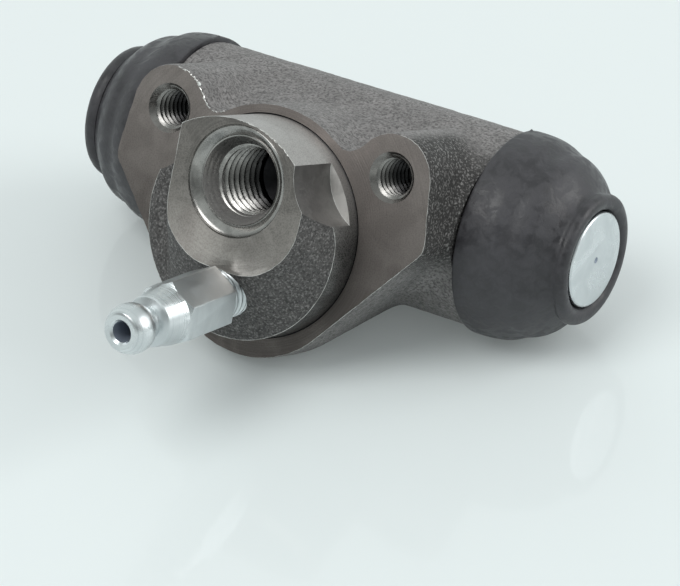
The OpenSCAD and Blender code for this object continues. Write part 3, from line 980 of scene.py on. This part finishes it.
@dataclass
class CastBody:
    """The iron casting with its machined faces, tapped holes and burrs."""

    finishes: Finishes
    barrel_r: float = 13.245
    shoulder_at: float = 24.6
    spigot_r: float = 11.925
    spigot_end: float = 29.6
    bore_r: float = 9.525
    flange_t: float = 5.0
    ear: Pair = (17.45, 11.25)
    ear_r: float = 5.8
    ear_back: float = 15.73
    ear_heel_z: float = 2.3
    ear_heel_r: float = 0.3
    shoulder: Pair = (22.75, 3.6)
    shoulder_r: float = 1.6
    foot_r: float = 14.85
    foot_z: float = -2.65
    rim_r: float = 15.8
    saddle_back: float = 13.48
    neck_half: float = 12.0
    neck_inset: float = 0.5
    pilot_r: float = 14.55
    pilot_h: float = 4.9
    pilot_root: float = 1.0
    port: Pair = Finishes.PORT
    port_h: float = 10.7
    port_tap: ThreadForm = ThreadForm(4.28, 5.0, 1.25)
    bolt_tap: ThreadForm = ThreadForm(2.40, 3.0, 1.0)
    pad_x: Pair = (-0.3, 4.0)
    pad_z: float = 3.9
    pad_r: float = 7.5
    pad_side: float = -8.4
    pad_slab: float = 0.05
    clear_r: float = 8.0
    clear_h: float = 1.9
    foot_groove: float = 0.20
    stock: float = 0.8
    voxel: float = 0.46
    fillet: float = 1.6
    blunt: float = 0.45
    crisp: float = 32
    burr_r: float = 0.07
    port_burrs: Pair = (1.9, 0.55)
    pilot_burr: float = 0.7
    ear_burr: float = 2.2
    flange_burr: float = 0.65
    burr_seed: int = 7
    tears: tuple[Pair, Pair] = ((2.3, 1.6), (0.35, 0.8))
    straying: Pair = (3.1, 0.14)
    rough_tear: Pair = (0.25, 1.0)
    even_tear: Pair = (0.55, 0.25)

    def build(self) -> Solid:
        """Returns: the finished body, cast, machined and with its burrs."""
        casting = self._casting().paint(self.finishes.cast)
        for tool in self._tools():
            casting.carve(tool)
        casting.shade(self.crisp)
        solid = Solid.join("body_casting", [casting, self._burrs(casting)])
        body = solid.obj
        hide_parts("body")
        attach(body, "housing")
        return solid

    @staticmethod
    def _post(x: float, z: float, radius: float, span: Pair, sides: int = 96) -> Solid:
        """Returns: a cylinder along Y.

        Args:
            x: place of its axis.
            z: height of its axis.
            radius: its radius.
            span: its first and last depth.
            sides: facets round it.
        """
        return Solid.cylinder(radius, (x, span[0], z), (x, span[1], z), sides)

    @staticmethod
    def _bar(radius: float, reach: float, sides: int = 128) -> Solid:
        """Returns: a cylinder along the bore.

        Args:
            radius: its radius.
            reach: how far it runs to each side.
            sides: facets round it.
        """
        y, z = Places.BORE_Y, Places.BORE_Z
        return Solid.cylinder(radius, (-reach, y, z), (reach, y, z), sides)

    def _casting(self) -> Solid:
        """Returns: the raw casting, with stock left where it will be machined."""
        front = -self.stock
        flange, ears = (front, self.flange_t), (front, self.ear_back)
        ear_x, ear_z = self.ear
        shoulder_x, shoulder_z = self.shoulder
        parts = [self._bar(self.barrel_r, self.spigot_end)]
        foot = [self._post(0, self.foot_z, self.foot_r, flange),
                self._bar(self.barrel_r - self.neck_inset, self.neck_half)]
        for side in (-1, 1):
            heel_x = ear_x - self.ear_r + self.ear_heel_r
            parts.append(Solid.hull([
                self._post(side * ear_x, ear_z, self.ear_r, ears, 64),
                self._post(side * shoulder_x, shoulder_z, self.shoulder_r, ears, 32),
                self._post(side * heel_x, self.ear_heel_z, self.ear_heel_r, ears, 8)]))
            foot.append(self._post(side * shoulder_x, shoulder_z, self.shoulder_r, flange, 32))
        parts.append(Solid.hull(foot))
        saddle = self._post(0, 0, self.rim_r, (front, self.saddle_back))
        parts.append(saddle.slice((0, 0, shoulder_z), (0, 0, -1)))
        pilot_r, top = self.pilot_r + self.stock / 2, front - self.port_h
        parts.append(self._post(0, 0, pilot_r, (-self.pilot_h, self.pilot_root)))
        boss = [self._post(0, 0, pilot_r, (self.stock - self.pilot_h, self.pilot_root))]
        boss += [self._post(x, z, self.pad_r, (top, top + self.pad_slab))
                 for x in self.pad_x for z in (self.pad_z, self.pilot_r)]
        parts.append(Solid.hull(boss).slice((self.pad_side, 0, 0), (-1, 0, 0)))
        return self._skin(Solid.join("body_casting", parts))

    def _skin(self, casting: Solid) -> Solid:
        """Returns: the casting as one skin, with rounded corners, sag and sand.

        Args:
            casting: the parts that overlap.
        """
        fuse = {"mode": "VOXEL", "voxel_size": self.voxel * MM}
        for step in (self.fillet, -self.fillet, -self.blunt, self.blunt):
            casting.modify("REMESH", **fuse).modify("DISPLACE", strength=step * MM, mid_level=0.0)
        casting.modify("REMESH", **fuse).modify("SMOOTH", factor=0.5, iterations=4)
        for name, size, height in (("casting_sag", 5.0, 0.16), ("casting_skin", 1.1, 0.09)):
            texture = bpy.data.textures.new(name, "CLOUDS")
            texture.noise_scale = size * MM
            texture.noise_depth = 2
            casting.modify("DISPLACE", strength=height * MM, mid_level=0.5, texture=texture,
                           texture_coords="LOCAL")
        return casting

    def _tools(self) -> Iterable[Solid]:
        """Yields: every cutter in the order of machining, painted with what it leaves."""
        f, far = self.finishes, 60.0
        yield self._face_cutter(far)
        yield self._post(0, 0, far, (-far, -self.port_h)).paint(f.port)
        for side in (-1, 1):
            yield from self._ear_tools(side * self.ear[0], self.ear[1], far)
        yield from self._port_tools()
        yield Solid.lathe("bleeder_drill", [
            (0, 12), (3.5, 12), (3.5, -10), (1.3, -12.2), (1.3, -22), (0, -22)],
            Places.bleeder(), 96).paint(f.scallop)
        yield self._bar(self.bore_r, self.spigot_end + 2, 160).paint(f.hole)
        for end in End:
            yield self._spigot_cutter(end)

    def _face_cutter(self, far: float) -> Solid:
        """Returns: the cutter of the mounting face and the pilot's wall, with a groove at its foot.

        Args:
            far: how far it reaches beyond the part.
        """
        f, wide, deep = self.finishes, self.foot_groove, self.foot_groove * 0.7
        cutter = Solid.lathe("face_cutter", [
            (self.pilot_r, -far), (far, -far), (far, 0), (self.pilot_r + wide, 0),
            (self.pilot_r + wide * 0.6, deep), (self.pilot_r, deep)], Places.face(0, 0), 192, True)
        # the groove takes the hole finish, whose painted shade makes it a dark line
        cutter.paint(f.flange).paint(f.hole, lambda p: p.center.y > 0.02 * MM)
        return cutter.paint(f.pilot, lambda p: p.center.y < -MM and abs(p.normal.y) < 0.5)

    def _ear_tools(self, x: float, z: float, far: float) -> Iterable[Solid]:
        """Yields: the bolt head's clearance, the drill and the tap of one ear.

        Args:
            x: place of the bolt's axis.
            z: height of the bolt's axis.
            far: how far a cutter reaches beyond the part.
        """
        f = self.finishes
        clearance = self._post(x, z, self.clear_r, (-far, -self.clear_h), 160).paint(f.scallop)
        yield clearance.paint(f.ledge, lambda p: p.normal.y > 0.5)
        drill = Solid.lathe("bolt_drill", [
            (0, -1), (4.3, -1), (2.45, 0.85), (2.45, 10.4), (0, 11.9)], Places.face(x, z), 72)
        yield drill.paint(f.hole).paint(f.countersink, lambda p: p.center.y < 0.8 * MM)
        tap = Solid.thread("bolt_tap", self.bolt_tap, (0.1, 9.8), Places.face(x, z), fade=0.6)
        yield tap.paint(f.bolt_thread)

    def _port_tools(self) -> Iterable[Solid]:
        """Yields: the drill and the tap of the port."""
        f, place = self.finishes, Places.face(*self.port)
        drill = Solid.lathe("port_drill", [
            (0, -12), (7.4, -12), (7.3, -10.72), (7.2, -10.5), (7.05, -10.6), (6.85, -10.55),
            (6.6, -10.35), (6.3, -10.05), (6.0, -9.8), (5.88, -9.62), (5.72, -9.58), (5.62, -9.7),
            (4.33, -6.8), (4.33, 2.7), (1.6, 4.37), (1.6, 13), (0, 13)], place, 128)
        drill.paint(f.hole).paint(f.throat, lambda p: p.center.y < -6.9 * MM)
        yield drill.paint(f.chamfer, lambda p: p.center.y < -9.5 * MM)
        tap = Solid.thread("port_tap", self.port_tap, (-7.6, 2.3), place, 96, 0.8)
        yield tap.paint(f.port_thread)

    def _spigot_cutter(self, end: End) -> Solid:
        """Returns: the cutter of one spigot, with the groove that holds the boot.

        Args:
            end: the spigot's end.
        """
        wall, shoulder, nose = self.spigot_r, self.shoulder_at, self.spigot_end
        cutter = Solid.lathe("spigot_cutter", [
            (wall, shoulder), (22, shoulder), (22, 34), (9.6, 34), (9.6, nose), (10.1, nose),
            (wall, nose), (wall, 28.2), (11.025, 28.2), (11.025, 26.2), (wall, 26.2)],
            Places.bore(), 160, True)
        cutter.turn_to(end).paint(self.finishes.hole)
        return cutter.paint(self.finishes.cast, lambda p: abs(p.center.x) < (shoulder + 0.1) * MM)

    def _burrs(self, body: Solid) -> Solid:
        """Returns: a ragged bright ridge where a cutter broke out of the cast skin.

        Args:
            body: the machined casting.
        """
        noise.seed_set(self.burr_seed)  # unset, the noise vectors follow the clock
        Solid.plot("body_burrs", *self._torn_edges(body)).open()
        bpy.ops.mesh.subdivide(number_cuts=2)
        bpy.ops.object.mode_set(mode="OBJECT")
        bpy.ops.object.convert(target="CURVE")
        curve = bpy.context.active_object.data
        curve.bevel_depth = self.burr_r * MM
        curve.bevel_resolution = 0
        for spline in curve.splines:
            for point in spline.points:
                at = point.co.to_3d()
                point.radius, stray = self._tear(at)
                point.co = (*(at + stray), 1.0)
        bpy.ops.object.convert(target="MESH")
        burrs = Solid.active("body_burrs")
        burrs.mesh.materials.clear()
        return burrs.paint(self.finishes.burr)

    def _torn_edges(self, body: Solid) -> tuple[list[Triple], list[tuple[int, int]]]:
        """Returns: the points and edges where two finishes meet in a burr, sorted by place.

        Args:
            body: the machined casting.
        """
        f = self.finishes
        pairs = ((f.cast, f.flange), (f.cast, f.port), (f.cast, f.pilot), (f.pilot, f.port),
                 (f.port, f.scallop), (f.ledge, f.scallop))
        torn = [{body.mesh.materials.find(m.name) for m in pair} for pair in pairs]
        mesh = bmesh.new()
        mesh.from_mesh(body.mesh)
        edges = []
        for edge in mesh.edges:
            meeting = {face.material_index for face in edge.link_faces}
            middle = (edge.verts[0].co + edge.verts[1].co) / 2
            if meeting in torn and self._raggedness(middle):
                edges.append(sorted(tuple(vertex.co) for vertex in edge.verts))
        mesh.free()
        points = sorted({point for edge in edges for point in edge})
        index = {point: number for number, point in enumerate(points)}
        return points, sorted((index[a], index[b]) for a, b in edges)

    def _tear(self, at: Vector) -> tuple[float, Vector]:
        """Returns: how thick the burr is at a place, as a share of its radius, and how far it strays.

        Args:
            at: a point on a machined edge, in metres.
        """
        ragged, here = self._raggedness(at), at / MM
        torn_off = sum(max(0.0, noise.noise(here * often)) * strong for often, strong in self.tears)
        least, share = self.rough_tear if ragged > 1 else self.even_tear
        often, far = self.straying
        stray = noise.noise_vector(here * often) * max(0.0, ragged - 1.0) * far * MM
        return ragged * (least + share * torn_off), stray

    def _raggedness(self, at: Vector) -> float:
        """Returns: how coarse the burr is at a place, and 0 where there is none.

        Args:
            at: a point on a machined edge, in metres.
        """
        x, y, z = at / MM
        port_y, pilot_y, rake_z, foot_z = -6, -1, 12, 4
        ear_x, ear_z = -9, 8
        coarse, fine = self.port_burrs
        if y < port_y:
            return coarse if x > 0 and z > rake_z else fine
        if y < pilot_y:
            return self.pilot_burr
        if -self.ear[0] < x < ear_x and z > ear_z:
            return self.ear_burr
        return self.flange_burr if x > self.ear[0] or (x > 0 and z < foot_z) else 0.0


@dataclass
class Boot:
    """One rubber boot, between the casting and its piston."""

    finishes: Finishes
    end: End
    crown_r: float = 13.845
    crown_at: float = 25.8
    dome_h: float = 6.5
    dome_len: float = 10.2
    dome_sweep: float = 65
    dome_steps: int = 22
    hollow: Pair = (4.7, 8.4)
    hollow_span: Pair = (58, 28)
    roll: Pair = (7.8, 37.05)
    roll_r: float = 1.25
    slack_roll: Pair = (7.6, 37.3)
    slack_roll_r: float = 1.05
    roll_span: Pair = (-38, 152)
    roll_sag: float = 13
    roll_steps: int = 12
    slack: float = 0.95
    slack_way: Pair = (-0.47, -0.88)
    slack_from: float = -0.3
    slack_over: float = 0.8
    ripple: float = 0.32
    ripple_at: float = 31.0
    ripple_len: float = 1.3
    sway: float = 0.16
    sway_scale: Pair = (2.2, 0.28)
    seam_w: float = 0.022
    seam_h: float = 0.22
    flash_h: float = 0.25
    flash_from: float = 32
    flash_scale: float = 2.1
    still_to: float = 29.6
    moves_from: float = 35.2
    sides: int = 240
    crisp: float = 38

    def build(self) -> Solid:
        """Returns: the boot, turned."""
        solid = Solid.sleeve(f"{self.end.word}_boot_rubber", self._section, Places.bore(), self.sides)
        solid.paint(self.finishes.rubber).turn_to(self.end).shade(self.crisp)
        boot = solid.obj
        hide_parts(f"{self.end.word}_boot")
        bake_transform(boot)
        return solid

    def _section(self, turn: float) -> Profile:
        """Returns: the boot's section at an angle, outside first and then back along its inside.

        Args:
            turn: angle round the bore from straight down towards the back.
        """
        slack = self._slack(turn)
        seam = math.exp(-(((turn - math.pi) / self.seam_w) ** 2))
        nib = self.seam_h * seam
        rim: Profile = [(12.15, 24.8), (13.55, 24.8), (13.74, 24.84), (13.82 + nib, 24.96),
                        (13.835 + nib, 25.06), (13.84, 25.25)]
        neck = [self._between((9.55, 35.75), (9.36, 35.72), slack),
                self._between((9.0, 36.05), (8.68, 36.4), slack)]
        lip_r = self.roll_r + (self.slack_roll_r - self.roll_r) * slack
        first, last = self.roll_span
        lip = arc(self._between(self.roll, self.slack_roll, slack), (lip_r, lip_r),
                  math.radians(first + self.roll_sag * slack), math.radians(last), self.roll_steps)
        bead: Profile = [(6.55, 36.9), (6.55, 36.55), (5.6, 36.5), (5.55, 35.0), (6.65, 34.95)]
        centre = (self.crown_r - self.dome_h, self.crown_at)
        inside = arc(centre, self.hollow, *map(math.radians, self.hollow_span), self.roll_steps)
        foot: Profile = [(12.15, 29.75), (12.15, 28.0), (11.25, 28.0), (11.25, 26.4), (12.15, 26.4)]
        return rim + self._dome(turn, seam) + neck + lip + bead + inside + foot

    def _slack(self, turn: float) -> float:
        """Returns: how far the boot hangs off its lip at an angle.

        Args:
            turn: the angle round the bore.
        """
        full = math.cos(turn) * self.slack_way[0] + math.sin(turn) * self.slack_way[1]
        share = min(1.0, max(0.0, (full - self.slack_from) / self.slack_over))
        return self.slack * share * share * (3 - 2 * share)

    def _dome(self, turn: float, seam: float) -> Profile:
        """Returns: the outside from the crown to the neck, with its ripple, sway and mould flash.

        Args:
            turn: the angle round the bore.
            seam: how near the mould's seam is, from 0 to 1.
        """
        spot = Vector((math.cos(turn), math.sin(turn), 0.0))
        centre, radii = (self.crown_r - self.dome_h, self.crown_at), (self.dome_h, self.dome_len)
        round_scale, along_scale = self.sway_scale
        points = []
        for step, (radius, along) in enumerate(
                arc(centre, radii, 0.0, math.radians(self.dome_sweep), self.dome_steps)):
            dip = self.ripple * math.exp(-((along - self.ripple_at) / self.ripple_len) ** 2)
            sway = self.sway * noise.noise(spot * round_scale + Vector((0, 0, along * along_scale)))
            sway *= math.sin(math.pi * step / self.dome_steps)
            flash = self.flash_h * seam * max(0.0, noise.noise(Vector((along * self.flash_scale, 0, 0))))
            points.append((radius - dip + sway + (flash if along > self.flash_from else 0.0), along))
        return points

    @staticmethod
    def _between(first: Pair, second: Pair, share: float) -> Pair:
        """Returns: a point on the way from one point to another.

        Args:
            first: start.
            second: end.
            share: how far along.
        """
        return tuple(a + (b - a) * share for a, b in zip(first, second))


@dataclass
class Piston:
    """One plated piston."""

    finishes: Finishes
    end: End
    face_at: float = 38.25
    nose_r: float = 6.45
    edge_r: float = 0.4
    mark_r: float = 0.42
    sides: int = 128
    crisp: float = 30

    def build(self) -> Solid:
        """Returns: the turned piston."""
        face, nose = self.face_at, self.nose_r
        edge = arc((nose - self.edge_r, face - self.edge_r), (self.edge_r, self.edge_r), 0.0,
                   math.pi / 2, 8)
        profile = [(0, 13.25), (9.1, 13.25), (9.495, 13.65), (9.495, 27.85), (9.1, 28.25), (nose, 29.77),
                   (nose, 34.75), (5.35, 34.75), (5.35, 36.75), (nose, 36.75), *edge,
                   (self.mark_r, face), (0.30, face - 0.12), (0, face - 0.2)]
        solid = Solid.lathe(f"{self.end.word}_piston_steel", profile, Places.bore(), self.sides)
        mark = Vector((face, Places.BORE_Y, Places.BORE_Z)) * MM
        solid.paint(self.finishes.zinc)
        # the centre mark is coloured darker than the zinc: painted shade in its small recess
        solid.paint(self.finishes.drilling_and_shade, lambda p: (p.center - mark).length < self.mark_r * MM)
        piston = solid.turn_to(self.end).shade(self.crisp).obj
        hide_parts(f"{self.end.word}_piston")
        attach(piston, f"{self.end.word}_piston_set")
        return solid


@dataclass
class BleederScrew:
    """The bleeder: threaded shank, hexagon, tapered shoulder and ball-ended nipple."""

    finishes: Finishes
    form: ThreadForm = ThreadForm(2.86, 3.44, 1.0)
    thread_end: float = -9.9
    gap: float = 6.7
    hex_len: float = 10.0
    hex_af: float = 7.65
    hex_turn: float = 26.7
    hex_blunt: float = 0.12
    cone_r: Pair = (3.9, 3.25)
    cone_len: float = 3.6
    neck_r: float = 2.2
    ball_at: float = 23.916
    ball_r: float = 3.25
    tip: float = 26.126
    hole_r: float = 1.35
    hole_end: float = -5.6
    hole_chamfer: float = 0.45
    overlap: float = 0.6
    sides: int = 96
    crisp: float = 14

    def build(self) -> Solid:
        """Returns: the screw, turned, milled and threaded."""
        here, zinc = Matrix.Identity(4), self.finishes.nipple
        solid = Solid.thread("bleeder_screw_steel", self.form,
                             (self.thread_end, self.gap + self.overlap), here).paint(zinc)
        point = Solid.lathe("bleeder_point", [
            (0, -12.1), (1.25, -12.1), (3.0, -10.3), (3.0, -9.0), (0, -9.0)], here, 72)
        nipple = Solid.lathe("nipple", self._nipple(), here, self.sides)
        for added in (point.paint(zinc), self._hexagon(), nipple.paint(zinc)):
            solid.carve(added, Cut.ADD)
        wide, chamfer_from = self.hole_r + self.hole_chamfer, self.tip - 0.3
        drill = Solid.lathe("nipple_drill", [
            (0, self.hole_end), (self.hole_r, self.hole_end), (self.hole_r, chamfer_from),
            (wide, self.tip + 0.15), (wide, self.tip + 1), (0, self.tip + 1)], here, 64)
        drill.paint(self.finishes.drilling_and_shade)
        solid.carve(drill.paint(zinc, lambda p: p.center.z > (chamfer_from - 0.01) * MM))
        screw = solid.shade(self.crisp).obj
        screw.data.transform(Places.bleeder())
        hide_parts("bleeder_screw")
        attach(screw, "bleeder")
        return solid

    def _hexagon(self) -> Solid:
        """Returns: the hexagon, its front turned to a chamfer, a taper and a step down to the neck."""
        corner = self.hex_af / 2 / math.cos(math.pi / 6)
        front = self.gap + self.hex_len
        step = front + self.cone_len
        end = step + self.overlap
        bpy.ops.mesh.primitive_cylinder_add(
            vertices=6, radius=corner * MM, depth=(end - self.gap) * MM,
            location=(0, 0, (self.gap + end) / 2 * MM), rotation=(0, 0, math.radians(self.hex_turn - 30)))
        hexagon = Solid.active("bleeder_hexagon")
        hexagon.modify("BEVEL", width=self.hex_blunt * MM, segments=2, limit_method="ANGLE",
                       angle_limit=math.radians(40))
        wide, narrow = self.cone_r
        outer, back = corner + 0.25, self.gap - 0.5
        turned = Solid.lathe("hexagon_turning", [
            (0, back), (outer, back), (outer, front - outer + wide), (wide, front),
            (narrow + 0.05, step - 0.1), (narrow - 0.1, step + 0.1), (self.neck_r - 0.1, step + 0.5),
            (0, step + 0.5)], Matrix.Identity(4), self.sides)
        turned.paint(self.finishes.nipple)
        return hexagon.paint(self.finishes.hexagon).carve(turned, Cut.KEEP_COMMON)

    def _nipple(self) -> Profile:
        """Returns: the outline from inside the hexagon out to the cut tip of the ball."""
        start = self.gap + self.hex_len - 4
        low = math.acos(self.neck_r / self.ball_r)
        high = math.asin((self.tip - self.ball_at) / self.ball_r)
        ball = arc((0, self.ball_at), (self.ball_r, self.ball_r), -low, high - 0.06, 20)
        edge = self.ball_r * math.cos(high)
        return [(0, start), (self.neck_r, start), *ball, (edge - 0.05, self.tip - 0.04),
                (edge - 0.18, self.tip), (0, self.tip)]


@dataclass
class SpringHalf:
    """Half of the spring, from the middle of the bore to the piston on its side."""

    finishes: Finishes
    end: End
    node: Object
    closed_turn: float = 2.6
    crisp: float = 40

    def build(self) -> Solid:
        """Returns: the half, cut out of the CAD spring."""
        solid = Solid.stand(f"{self.end.word}_spring_half", self.node.data.copy())
        solid.mesh.materials.clear()
        solid.open().close().slice((0, 0, 0), (-self.end.value, 0, 0))
        half = solid.paint(self.finishes.wire).shade(self.crisp).obj
        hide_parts("spring")
        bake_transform(half)
        return solid


@dataclass(frozen=True)
class Lamp:
    """One soft round lamp that points at the part. Its place over the floor is in metres."""

    name: str
    place: Triple
    size: float
    watts: float
    mirrored: bool = True

    def hang(self, stand: Matrix) -> None:
        """Add it to the scene.

        Args:
            stand: turn of the floor in the part's frame.
        """
        light = bpy.data.lights.new(self.name, "AREA")
        light.shape = "DISK"
        light.size = self.size
        light.energy = self.watts
        lamp = bpy.data.objects.new(self.name, light)
        lamp.location = stand @ Vector(self.place)
        lamp.rotation_euler = (-lamp.location).to_track_quat("-Z", "Y").to_euler()
        lamp.visible_glossy = self.mirrored
        bpy.context.scene.collection.objects.link(lamp)


@dataclass
class Studio:
    """Floor, lamps, world and camera."""

    lean: float = math.radians(24.8)
    floor_low: float = -18.0
    floor_size: float = 6.0
    floor_roughness: float = 0.03
    floor_specular: float = 0.2
    pale: Triple = (0.80, 0.868, 0.858)
    glow: float = 0.13
    sky: float = 0.46
    sky_colour: Triple = (0.95, 0.975, 1.0)
    sky_rise: tuple[Pair, Pair] = ((-0.6, 0.9), (0.35, 1.25))
    dim_from: tuple[Pair, Pair] = ((0.05, 0.45), (0.0, 0.62))
    dim_until: tuple[Pair, Pair] = ((0.60, 0.92), (0.0, 0.60))
    dim_side: Pair = (-0.3, 0.4)
    lamps: tuple[Lamp, ...] = (
        Lamp("key_lamp", (-0.117, -0.435, 0.721), 0.50, 2.55),
        Lamp("side_lamp", (0.637, 0.398, 0.399), 0.65, 3.05),
        Lamp("rear_lamp", (-0.531, 0.531, 0.399), 0.50, 1.0, mirrored=False),
    )
    eye: Triple = (235.844, -394.243, 88.657)
    right: Triple = (0.83127, 0.51714, 0.20387)
    up: Triple = (-0.27889, 0.07074, 0.95771)
    lens: float = 190.448
    sensor: float = 36.0

    def build(self) -> None:
        """Set the stage round the part."""
        bpy.context.scene.view_settings.view_transform = "Standard"
        stand = Matrix.Rotation(self.lean, 4, "X")
        self._floor(stand)
        self._world()
        for lamp in self.lamps:
            lamp.hang(stand)
        self._camera()

    def _floor(self, stand: Matrix) -> None:
        """Lay the floor that the flange's foot and both boots stand on, clear from below.

        Args:
            stand: turn of the floor in the part's frame.
        """
        bpy.ops.mesh.primitive_plane_add(size=self.floor_size)
        floor = bpy.context.active_object
        floor.name = "floor"
        floor.data.transform(stand @ Matrix.Translation((0, 0, self.floor_low * MM)))
        s = Surface("pale_floor")
        s.set(Base_Color=(*self.pale, 1.0), Roughness=self.floor_roughness,
              Specular_IOR_Level=self.floor_specular)
        glow = s.node("Emission", {"Color": (*self.pale, 1.0), "Strength": 1.0}).outputs[0]
        share = s.math("MULTIPLY", s.seen(), self.glow)
        lit = s.node("MixShader", {0: share, 1: s.shader.outputs[0], 2: glow}).outputs[0]
        clear = s.node("BsdfTransparent").outputs[0]
        back = s.node("NewGeometry").outputs["Backfacing"]
        both = s.node("MixShader", {0: back, 1: lit, 2: clear}).outputs[0]
        s.feed(s.out.inputs["Surface"], both)
        floor.data.materials.append(s.material)
        floor.visible_shadow = False

    def _world(self) -> None:
        """Light from all round, brighter above, with a pale background for the camera."""
        world = bpy.data.worlds.new("studio")
        bpy.context.scene.world = world
        world.use_nodes = True
        w = Wiring(world.node_tree)
        way = w.node("TexCoord").outputs["Generated"]
        height = w.vector("DOT_PRODUCT", way, (0.0, -math.sin(self.lean), math.cos(self.lean)))
        near = w.vector("DOT_PRODUCT", way, Vector(self.eye).normalized())
        level = w.math("MULTIPLY", w.ramp(height, *self.sky_rise), self.sky)
        sky = w.node("Background", {"Color": (*self.sky_colour, 1.0), "Strength": level})
        dim = w.math("SUBTRACT", w.ramp(height, *self.dim_from), w.ramp(height, *self.dim_until))
        shade = w.math("MULTIPLY", w.ramp(near, self.dim_side), dim)
        level = w.math("SUBTRACT", 1.0, shade)
        plain = w.node("Background", {"Color": (*self.pale, 1.0), "Strength": level})
        both = w.node("MixShader", {0: w.seen(), 1: sky.outputs[0], 2: plain.outputs[0]})
        w.node("OutputWorld", {"Surface": both.outputs[0]})

    def _camera(self) -> None:
        """Set up the camera at the photograph's viewing angle."""
        data = bpy.data.cameras.new("camera")
        data.lens = self.lens
        data.sensor_width = self.sensor
        data.sensor_fit = "HORIZONTAL"
        data.clip_start = 10 * MM
        camera = bpy.data.objects.new("camera", data)
        right, up = Vector(self.right), Vector(self.up)
        turn = Matrix((right, up, right.cross(up))).transposed().to_4x4()
        camera.matrix_world = Matrix.Translation(Vector(self.eye) * MM) @ turn
        bpy.context.scene.collection.objects.link(camera)
        bpy.context.scene.camera = camera


@dataclass
class WheelCylinder:
    """The whole part."""

    nodes: dict[str, Object]

    def build(self) -> None:
        """Build every piece that shows, and dress the inner ones."""
        finishes = Finishes()
        left_lip = {"roll": (8.2, 36.9), "roll_r": 1.3, "slack": 0.0, "ripple": 0.45}
        makers = [CastBody(finishes), BleederScrew(finishes), Boot(finishes, End.RIGHT),
                  Boot(finishes, End.LEFT, **left_lip)]
        makers += [Piston(finishes, end) for end in End]
        makers += [SpringHalf(finishes, end, self.nodes["spring"]) for end in End]
        for maker in makers:
            piece = maker.build()
            LOG.info("%s has %d triangles", piece.obj.name, piece.triangles)
        for end in End:
            self._dress(f"{end.word}_cup_seal", finishes.seal)
            self._dress(f"{end.word}_cup_expander", finishes.pressed)

    def _dress(self, name: str, material: Material) -> None:
        """Give a node that keeps its CAD form its finish.

        Args:
            name: the node's name.
            material: the finish.
        """
        slots = self.nodes[name].data.materials
        slots.clear()
        slots.append(material)
        LOG.info("%s keeps its CAD form", name)


def main() -> None:
    """Load the frame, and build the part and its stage."""
    logging.basicConfig(level=logging.INFO, format="%(name)s: %(message)s")
    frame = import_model()
    WheelCylinder(frame["nodes"]).build()
    Studio().build()


if __name__ == "__main__":
    main()
